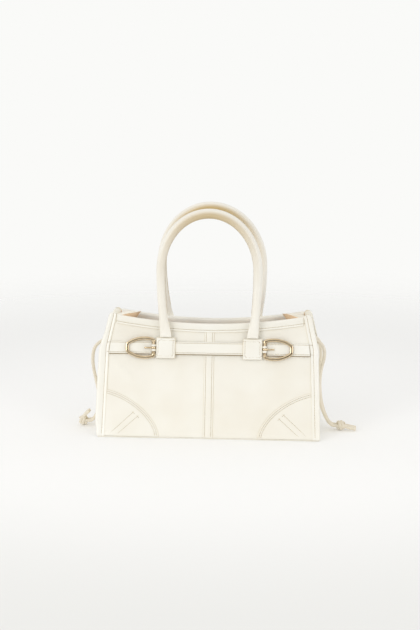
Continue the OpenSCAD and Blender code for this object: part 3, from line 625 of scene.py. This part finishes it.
for face, place in walls:
    for side_name, side in sides:
        rings = []
        for row, v in enumerate(side_rows):
            shrink = 1.0 if 0 < row < len(side_rows) - 1 else 0.93
            ring_v = settled(v, place) + (1 - shrink) * (8 if row else -4)
            # At the top corner the binding is lapped over the lining too
            lap = 9.5 if v > corner_v - 9.995 else 0.3
            roll = pulled_out(v) if face + side_name == "frontleft" else 0.0
            ring = []
            for d, w, rim in side_profile + [(lap, -wrap_back, 0.2), (lap, -on_lining, 0.2),
                                             (0, -on_lining, 0), (0, 0, 0)]:
                rolled = roll * min(1, max(0, (5 - d) / 4))
                belly = fullness(half_at(v) - d, v) if w > 0 else 0
                ring.append((place(side * (half_at(v) - rounded_end(d, v) + rolled), ring_v,
                                   w * shrink + belly), rim))
            rings.append(ring)
        build(f"{face}_{side_name}_side_binding", [rings], trim_leather,
              [f"{face}_{side_name}_binding"])
    stitched(face + "_side_stitching", [
        [place(side * (half_at(v) - side_groove), settled(v, place), 1.2) for v in side_rows[1:-5]]
        for side in (-1, 1)])

# The mouth's binding is padded out on its inner side, as points (in from the edge, height, rim)
top_profile = fold_profile(top_reach, wrap_back, trim_t, 1.4, top_groove, 0.25)
top_profile = [point for point in top_profile if point[1] >= -2.5] + [
    (-1.3, -2.3, 0), (-0.8, -3.3, 0), (0.2, -4.1, 0), (1.8, -4.7, 0), (5, -5.3, 0), (9.4, -6.1, 0),
    (top_reach, -6.0, 0.6), (top_reach, -on_lining, 1), (0, -lining_back, 0), (0, 0, 0)]
top_half = half_at(corner_v) - side_reach
top_columns = [-top_half + 2 * top_half * k / 60 for k in range(61)]
for face, place in walls:
    build(face + "_mouth_binding", [[
        [(place(u, top_at(u, place) - d, w), rim) for d, w, rim in top_profile]
        for u in top_columns]], trim_leather, [face + "_top_binding"])
    stitched(face + "_mouth_stitching", [
        [place(u, top_at(u, place) - top_groove, w) for u in top_columns] for w in (0.95, -5.8)])


# Corner patches and centre strips: single layers of the same leather, skived at the edges,
# each sewn down with two rows of stitches; a short double row crosses every corner patch.
def across(width, thick, edge, grooves, crown=0.1):
    """Face of a flat strip as (share of the width, height, rim)."""
    steps = [0, 0.05 * edge, 0.3 * edge, edge, 2 * edge]
    steps += [width - s for s in steps] + [width * k / 8 for k in range(2, 7)]
    for groove in grooves:
        steps += [groove - 0.9, groove - 0.4, groove, groove + 0.4, groove + 0.9]
    result = []
    for x in sorted(set(round(s, 4) for s in steps)):
        near = min(x, width - x)
        round_off = math.sqrt(max(0, 1 - max(0, 1 - near / edge) ** 2))
        dip = sum(0.22 * math.exp(-((x - g) / 0.5) ** 2) for g in grooves)
        height = thick * round_off + crown * math.sin(math.pi * x / width) - dip * round_off
        result.append((x / width, height, max(0.0, 1 - near / edge)))
    return result


def strip(place, edge_a, edge_b, face_points, base=0.0, lift=None, ends=(0.0, 0.0)):
    """Rings of a strip laid on a panel between two edges; ends rounds it off over that length."""
    lift = lift or fullness
    run = [0.0]
    for i in range(1, len(edge_a)):
        run.append(run[-1] + math.dist(edge_a[i], edge_a[i - 1]))
    rings = []
    for i, (a, b) in enumerate(zip(edge_a, edge_b)):
        scale = 1.0
        for length, gone in ((ends[0], run[i]), (ends[1], run[-1] - run[i])):
            if length and gone < length:
                scale = min(scale, math.sqrt(max(0.0, 1 - (1 - gone / length) ** 2)))
        outline = [(x, h * scale, max(rim, 1 - scale)) for x, h, rim in face_points]
        ring = []
        for share, height, rim in outline + [(x, -0.02, 0.0) for x in (1.0, 0.5, 0.0)]:
            u, v = a[0] + (b[0] - a[0]) * share, a[1] + (b[1] - a[1]) * share
            ring.append((place(u, v, base + lift(u, v) + height), rim))
        rings.append(ring)
    return rings


def stations(low, high, count, fine=0.0):
    """Even stations, with close ones near both ends where the strip is rounded off."""
    values = [low + (high - low) * k / count for k in range(count + 1)]
    if fine:
        near = [fine * s for s in (0.02, 0.1, 0.25, 0.5, 1.0)]
        values = sorted(set(values + [low + n for n in near] + [high - n for n in near]))
    return values


strip_w, strip_seam = 13, 2.4
patch_out, patch_w, patch_h, patch_power = 150, 84, 64, 1.2
patch_corner = (146.5, panel_v0 + 0.3)
patch_seams, patch_edge = (2.4, 4.9), 0.5
# The patch's face, by how far in from its curved edge, with a groove along each seam
patch_face = []
for x in (0, 0.02, 0.15, 0.5, 1.0, 1.9, 2.4, 2.9, 4.4, 4.9, 5.4, 9, 20, 40, 60, 70):
    near = max(0, 1 - x / patch_edge)
    first, second = (0.2 * math.exp(-((x - seam) / 0.5) ** 2) for seam in patch_seams)
    patch_face.append((x / 70, math.sqrt(max(0, 1 - near ** 2)) - first - second, near))
# The short double row across each patch, and the row that closes it
patch_bars = (((101, 34), (130.5, 6.8)), ((95, 28.7), (119, 7.4)), ((101, 34), (95, 28.7)))
for face, place in walls:
    strip_top = top_at(0, place) - top_reach
    rows = [panel_v0 + (strip_top - panel_v0) * k / 50 for k in range(51)]
    build(face + "_middle_strip", [strip(
        place, [(-strip_w / 2, v) for v in rows], [(strip_w / 2, v) for v in rows],
        across(strip_w, 1.0, 0.5, (strip_seam, strip_w - strip_seam)))],
        body_leather, [face + "_centre_strip"])
    stitched(face + "_middle_stitching", [
        [place(u, v, fullness(u, v) + 0.95) for v in rows[1:]]
        for u in (strip_seam - strip_w / 2, strip_w / 2 - strip_seam)])
    seams = []
    for side_name, side in sides:
        arc_points = []
        for k in range(41):
            a = math.pi / 2 * k / 40
            u = patch_out - (patch_w * math.cos(a) ** patch_power if k < 40 else 0)
            v = panel_v0 + patch_h * math.sin(a) ** patch_power
            arc_points.append((side * min(u, half_at(v) - 0.4), v))
        corner = (side * patch_corner[0], patch_corner[1])
        middle = Vector(corner)
        build(f"{face}_{side_name}_patch", [strip(
            place, arc_points, [corner] * len(arc_points), patch_face)],
            body_leather, [f"{face}_{side_name}_corner_patch"])
        for inset in patch_seams:
            row = []
            for p in arc_points[1:-1]:
                p = Vector(p)
                q = p + (middle - p).normalized() * inset
                if q.y > 3.5 and abs(q.x) < half_at(q.y) - side_reach - 0.2:
                    row.append(place(q.x, q.y, fullness(q.x, q.y) + 0.9))
            seams.append(row)
        for start, end in patch_bars:
            row = []
            for k in range(13):
                u = side * (start[0] + (end[0] - start[0]) * k / 12)
                v = start[1] + (end[1] - start[1]) * k / 12
                row.append(place(u, v, fullness(u, v) + 1.0))
            seams.append(row)
    stitched(face + "_patch_stitching", seams)

# Belt: a doubled strap with folded edges across both walls, held down by the handle tabs, and in
# front an end strap under each buckle. Its lower edge stands off, and is edge paint darkened into
# painted shade, so a dark line shows under it.
belt_v, belt_w = 112.0, 18.0
belt_t, strap_t, belt_under = 2.0, 1.9, 1.0
belt_grooves = (2.9, belt_w - 2.2)
belt_stand_off = 1.2
# Across a wall, in mm: the ends of the front belt, the start of an end strap, the stretch of it
# inside the buckle's frame, and the place beyond the toe where it stands off
belt_end, strap_start, in_frame, past_toe = 58, 77.5, (81, 108), 115
level = lambda u, v: 0.0
# Its rim colour is dark tan: edge paint, darkened as painted shade for the line under the strap
belt_leather = coated_leather("edge_paint_and_painted_shade_belt_leather", "#f8f6ee", "#f4f0e4", "#846a32", 0.32,
                              1.1, 0.04)


def edge_paint_and_shade(face_points):
    """The lower edge of a strap is tan brown edge paint, darkened as painted shade of the line
    under it; its upper edge is turned in and takes only a trace of that colour.
    """
    return [(share, height, min(1.0, 1.7 * rim) if share < 0.5 else 0.12 * rim)
            for share, height, rim in face_points]


def lower_edge(v):
    """How loose a strap is: nothing above its middle, and most at its lower edge."""
    return max(0.0, min(1.0, (belt_mid - v) / 9)) ** 1.3


def belt_rise(u, v):
    """Between the tabs the belt's lower half stands away from the panel."""
    return belt_stand_off * eased((44.5 - abs(u)) / 8) * lower_edge(v)


belt_face = edge_paint_and_shade(across(belt_w, belt_t, 1.7, belt_grooves, 0.2))
rear_reach = half_at(belt_v + belt_w) - side_reach - 0.2
seams = []
for face, place, columns, rise_up in (
        ("front", at_front, stations(-belt_end, belt_end, 58), belt_rise),
        ("rear", at_rear, stations(-rear_reach, rear_reach, 60), level)):
    build(face + "_belt_strap", [strip(
        place, [(u, belt_v) for u in columns], [(u, belt_v + belt_w) for u in columns], belt_face,
        belt_under, rise_up)], belt_leather, [face + "_belt"])
    seams += [[place(u, belt_v + v, belt_under + 1.95 + rise_up(u, belt_v + v)) for u in columns]
              for v in belt_grooves]
stitched("belt_stitching", seams)


def strap_rise(u, v):
    """The end strap lies flat under the buckle's toe and arches up a little inside the frame.
    Beyond the toe its lower edge stands away from the panel."""
    u = abs(u)
    share = min(1, max(0, (u - in_frame[0]) / (in_frame[1] - in_frame[0])))
    free = min(1, max(0, (u - past_toe) / 6))
    return 0.85 * math.sin(math.pi * share) ** 2 + belt_stand_off * free * lower_edge(v)


seams = []
for side_name, side in sides:
    columns = stations(strap_start, half_at(belt_v) - side_reach - 0.3, 44)
    top_end = half_at(belt_v + belt_w) - side_reach - 0.3
    build(side_name + "_buckle_strap", [strip(
        at_front, [(side * u, belt_v) for u in columns],
        [(side * min(u, top_end), belt_v + belt_w) for u in columns],
        edge_paint_and_shade(across(belt_w, strap_t, 1.6, belt_grooves)), 0.0, strap_rise)],
        belt_leather, [side_name + "_end_strap"])
    seams += [[at_front(side * u, belt_v + v, strap_t - 0.1 + strap_rise(u, belt_v + v))
               for u in columns] for v in belt_grooves]
stitched("buckle_strap_stitching", seams)

# Buckles: cast zinc in pale gold plate. Each frame is a flat rail bent to a D with a soft toe,
# swinging on a round bar that a small leather loop holds against the tab.
gold_plate, tree, metal_at = blank_material("pale_gold_plate")
haze = add(tree, "ShaderNodeTexNoise", {"Scale": 1000 / 6, "Detail": 2.0}, {"Vector": metal_at})
wear = add(tree, "ShaderNodeMapRange", {"To Min": 0.05, "To Max": 0.11},
           {"Value": haze.outputs["Fac"]})
plate = add(tree, "ShaderNodeMix", {"data_type": "RGBA", 6: linear("#efe0c4"),
            7: linear("#cdb289")}, {0: haze.outputs["Fac"]})
cast = add(tree, "ShaderNodeBump", {"Strength": 0.2, "Distance": 0.0001},
           {"Height": haze.outputs["Fac"]})
shine = add(tree, "ShaderNodeBsdfPrincipled", {"Metallic": 1.0}, {"Base Color": plate.outputs[2],
            "Roughness": wear.outputs["Result"], "Normal": cast.outputs["Normal"]})
add(tree, "ShaderNodeOutputMaterial", {}, {"Surface": shine.outputs[0]})

bar_u, bar_w, bar_r, bar_half = 74.5, 3.98, 1.7, 10.1
rail_half, rail_length = 12.9, 35.7
rail_w, rail_t = 2.1, 1.6
corner_r, side_r, toe_corner_r = 3.0, 50.0, 4.0
turns = [math.radians(a) for a in (104, 60, 4)]
eye_r = 2.38


def bend(centre, radius, start, end, steps):
    """Points along an arc between two angles."""
    return [Vector((centre[0] + radius * math.cos(start + (end - start) * k / steps),
                    centre[1] + radius * math.sin(start + (end - start) * k / steps)))
            for k in range(steps + 1)]


side_c = Vector((corner_r - (side_r - corner_r) * math.cos(turns[0]), rail_half - side_r))
corner_c = Vector((corner_r, side_c.y + (side_r - corner_r) * math.sin(turns[0])))
toe_corner_c = side_c + (side_r - toe_corner_r) * Vector((math.cos(turns[1]), math.sin(turns[1])))
toe_r = toe_corner_r + toe_corner_c.y / math.sin(turns[2])
toe_c = Vector((toe_corner_c.x + (toe_corner_r - toe_r) * math.cos(turns[2]), 0))
stretch = rail_length / (toe_c.x + toe_r)
half_rail = (bend(toe_c, toe_r, 0, turns[2], 8)
             + bend(toe_corner_c, toe_corner_r, turns[2], turns[1], 12)[1:]
             + bend(side_c, side_r, turns[1], turns[0], 14)[1:]
             + bend(corner_c, corner_r, turns[0], math.pi, 14)[1:])
half_rail = [Vector((p.x * stretch, p.y)) for p in half_rail]
rail = [Vector((p.x, -p.y)) for p in reversed(half_rail[1:])] + half_rail


def on_oval(angle, half_a, half_b, power):
    """A point of an oval, round for power 2 and squarer above it."""
    c, s = math.cos(angle), math.sin(angle)
    return (half_a * math.copysign(abs(c) ** (2 / power), c),
            half_b * math.copysign(abs(s) ** (2 / power), s))


def oval(half_a, half_b, power, count):
    return [on_oval(2 * math.pi * k / count, half_a, half_b, power) for k in range(count)]


def flat_rings(path, section):
    """Rings along a flat path; a section's points are (inward, out of the plane)."""
    rings = []
    for i, p in enumerate(path):
        t = heading(path, i)
        rings.append([(p.x - a * t.y, p.y + a * t.x, b) for a, b in section])
    return rings


def at_bar(rings, side):
    """Rings round the middle of a buckle's bar, put in their place on the front."""
    return [[(at_front(side * (bar_u + x), belt_mid + y, bar_w + z), 0.0) for x, y, z in ring]
            for ring in rings]


frame_rings = flat_rings(rail, oval(rail_w, rail_t, 2.9, 24))
bar_rings = [[(r * math.cos(a), y, r * math.sin(a))
              for a in [2 * math.pi * k / 24 for k in range(24)]]
             for y, r in ((-bar_half, 1.5), (-9.8, bar_r), (9.8, bar_r), (bar_half, 1.5))]
eye_rings = [[((eye_r + p) * math.cos(a), q, (eye_r + p) * math.sin(a))
              for p, q in oval(0.58, 1.38, 3.0, 14)]
             for a in [2 * math.pi * k / 32 for k in range(32)]]
shank = smooth_path([Vector(p) for p in (
    (2.2, 0, 1.0), (3.2, 0, 1.4), (5.5, 0, 1.5), (8.5, 0, 1.5), (10.6, 0, 1.35), (11.5, 0, 0.7),
    (11.6, 0, -0.4), (11.6, 0, -1.6), (11.6, 0, -2.9))])
shank_radii = [1.2 - 0.3 * (k / (len(shank) - 1)) ** 2 for k in range(len(shank))]
shank_rings = [[tuple(point) for point, _ in ring] for ring in tube_rings(shank, shank_radii)]
# The leather loop's fold round the bar, as (across the panel, out from it)
fold = [Vector(p) for p in ((58.6, 2.35), (66, 2.4), (69.8, 2.5), (71.3, 3.1), (71.9, 4.1))]
fold += [Vector((bar_u, bar_w)) + eye_r * Vector((math.cos(a), math.sin(a)))
         for a in [math.radians(150 - 20 * k) for k in range(15)]]
fold += [Vector(p) for p in ((71.0, 1.85), (69.0, 1.62), (58.6, 1.6))]
loop_low, loop_high = 1.75, 4.5
loop_rings = flat_rings(fold, oval(0.58, (loop_high - loop_low) / 2, 5.0, 20))
loop_mid = (loop_low + loop_high) / 2
for side_name, side in sides:
    prong = side_name + "_buckle_prong"
    build(side_name + "_buckle_frame", [at_bar(frame_rings, side), at_bar(bar_rings, side)],
          gold_plate, [side_name + "_buckle"], side_name + "_buckle_frame", crease=60)
    build(side_name + "_prong_eye", [at_bar(eye_rings, side)], gold_plate, (), prong,
          closed=True)
    build(side_name + "_prong_shank", [at_bar(shank_rings, side)], gold_plate,
          [side_name + "_prong"], prong)
    build(side_name + "_bar_loop", [[[(at_front(side * x, belt_mid + middle + y, z), 0.0)
                                      for x, z, y in ring] for ring in loop_rings]
                                    for middle in (-loop_mid, loop_mid)],
          body_leather, [side_name + "_buckle_loop"])

# Handle tabs: four padded squares of leather, sewn over the belt on all four sides.
# Each takes one flattened end of a handle along its top edge.
# Its rim colour darkens the seam, and as painted shade the inside of the crowns
handle_leather = coated_leather("coated_handle_leather", "#f8f5ec", "#f4efe3", "#c4a970", 0.36,
                                1.0, 0.04)
tab_u, tab_w, tab_v, tab_h, tab_t = 58.2, 26.0, 107.0, 28.0, 3.0
tab_under, tab_seam = 3.0, 3.0
tab_face = across(tab_w, tab_t, 1.3, (tab_seam, tab_w - tab_seam), 0.15)
tab_rows = stations(tab_v, tab_v + tab_h, 20, 2.0)
seams = []
for face, place in walls:
    for side_name, side in sides:
        build(f"{face}_{side_name}_handle_tab", [strip(
            place, [(side * (tab_u - tab_w / 2), v) for v in tab_rows],
            [(side * (tab_u + tab_w / 2), v) for v in tab_rows], tab_face, tab_under, level,
            (1.3, 2.4))], trim_leather, [f"{face}_{side_name}_tab"])
        inner, outer = [side * (tab_u + edge * (tab_w / 2 - tab_seam)) for edge in (-1, 1)]
        low, high = tab_v + 3.2, tab_v + tab_h - 4
        seams.append([place(u, v, tab_under + tab_t - 0.1) for u, v in (
            (inner, high), (inner, low), (outer, low), (outer, high), (inner, high))])
stitched("handle_tab_stitching", seams)

# Handles: leather rolled round a soft round filler and closed by a seam inside the bend.
# Each end is pressed flat, spreads out and turns on the top edge of its tab.
# The rear handle is a little wider and higher, and bows forward so that the crowns lean together.
handle_r, knuckle_r, end_l, end_half = 5.9, 3.0, 25.0, 7.5
seam_r, seam_half = 5.55, 1.95
shoulder_h, crown_swell = 87.0, 0.12
# The handle's hinge runs along the top of its tabs
hinge = Vector((0, -34.4436, 136.051))
turn_steps = [0, 2, 4, 7, 12, 20] + [30 + 15 * k for k in range(21)] + [340, 348, 353, 356, 358]


def handle_line(shoulder_u, handle_h):
    """Middle line of a handle: a shallow arc up each leg, then half an oval over the top."""
    leg_r = ((shoulder_u - tab_u) ** 2 + shoulder_h ** 2) / (2 * (shoulder_u - tab_u))
    leg = bend((shoulder_u - leg_r, shoulder_h), leg_r, -math.asin(shoulder_h / leg_r), 0, 44)
    arch = [Vector((shoulder_u * math.cos(a), shoulder_h + (handle_h - shoulder_h) * math.sin(a)))
            for a in [math.pi / 2 * k / 48 for k in range(1, 49)]]
    half = [Vector((tab_u, h)) for h in (-2.96, -2.8, -2.4, -1.7, -0.9)] + leg + arch
    return half + [Vector((-p.x, p.y)) for p in reversed(half[:-1])]


def handle_section(h, handle_h, crown_shade):
    """Outline of a handle at a height, as (inward, across, rim): pressed flat at its ends, grooved
    along its seam, and darkened inside its crown by painted shade."""
    k = eased(h / end_l)
    half_a = end_half + (handle_r - end_half) * k
    half_b = knuckle_r + (handle_r - knuckle_r) * k
    if h < 0:
        half_b = math.sqrt(max(0.01, knuckle_r ** 2 - h * h))
    crown = (max(0.0, h) / handle_h) ** 3
    swell = 1 + crown_swell * crown
    result = []
    for turn_at in turn_steps:
        a, b = on_oval(math.radians(turn_at), swell * half_a, swell * half_b, 2 + 1.2 * (1 - k))
        off = min(turn_at, 360 - turn_at)
        # Painted shade inside the crown, where the two handles shade each other
        tone = min(1.0, crown_shade) * crown * math.exp(-(off / (95 + 25 * crown_shade)) ** 8)
        result.append((a - 0.45 * math.exp(-(off / 5) ** 2), b,
                       0.8 * math.exp(-(off / 6) ** 2) + tone))
    return result


# Where the two handles lean together at the crown, painted shade darkens the inside of each crown,
# the rear one's more
for face, flip, tilt_by, shoulder_u, handle_h, bow, crown_shade in (
        ("front", 1, 1.6, 64.6, 163.2, 0.0, 0.8), ("rear", -1, 4.4, 68.8, 171.4, 22.0, 1.2)):
    swing = Matrix.Rotation(math.radians(-tilt_by), 3, "X")

    def at_handle(x, y, h):
        p = swing @ Vector((x, y, h)) + hinge
        return Vector((p.x, flip * p.y, p.z)) / 1000

    rings, seam_rows = [], [[], []]
    handle_path = handle_line(shoulder_u, handle_h)
    for i, p in enumerate(handle_path):
        inward = bow * (max(0.0, p.y) / handle_h) ** 2
        t = heading(handle_path, i)
        rings.append([(at_handle(p.x - a * t.y, b + inward, p.y + a * t.x), rim)
                      for a, b, rim in handle_section(p.y, handle_h, crown_shade)])
        if p.y > end_l + 5:
            a = seam_r * (1 + crown_swell * (p.y / handle_h) ** 3)
            for row, b in zip(seam_rows, (seam_half, -seam_half)):
                row.append(at_handle(p.x - a * t.y, b + inward, p.y + a * t.x))
    build(face + "_rolled_handle", [rings], handle_leather,
          [face + "_handle_cover", face + "_handle_ends"], face + "_handle")
    stitched(face + "_handle_stitching", seam_rows, face + "_handle")

# Inside: a slip pocket of lining cloth on the rear wall, and a plated magnetic snap, whose two
# halves, the board, the eyelets and the handles' filler are the CAD nodes themselves.
pocket_half = 75
pocket_rows = stations(22, 112, 30)
pocket_ring = [(k / 20, 0.05) for k in range(21)] + [
    (k / 20, 0.75 + 0.15 * math.sin(math.pi * k / 20)) for k in range(20, -1, -1)]
pocket_ring = [(pocket_half * (2 * share - 1), lining_back + 0.02 + w) for share, w in pocket_ring]
build("pocket_cloth", [[[(at_rear(u, v, fullness(u, v) - w), 0.0) for u, w in pocket_ring]
                        for v in pocket_rows]],
      lining_cloth, ["slip_pocket"], ladder=True)
filler_foam = speckled("grey_filler_foam", "#d3ccbb", "#bdb5a2", 0.7, 0.9, 3.0)
stiff_board = speckled("grey_pulp_board", "#a39378", "#8d7d62", 2.0, 0.9, 3.0)
for material, node_names in (
        (stiff_board, ["base_board"]),
        (filler_foam, ["front_handle_core", "rear_handle_core"]),
        (gold_plate, ["left_eyelets", "right_eyelets", "front_snap", "rear_snap"]),
        (cord_leather, ["left_inner_cord", "right_inner_cord"])):
    for node_name in node_names:
        for material_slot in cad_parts[node_name].material_slots:
            material_slot.material = material
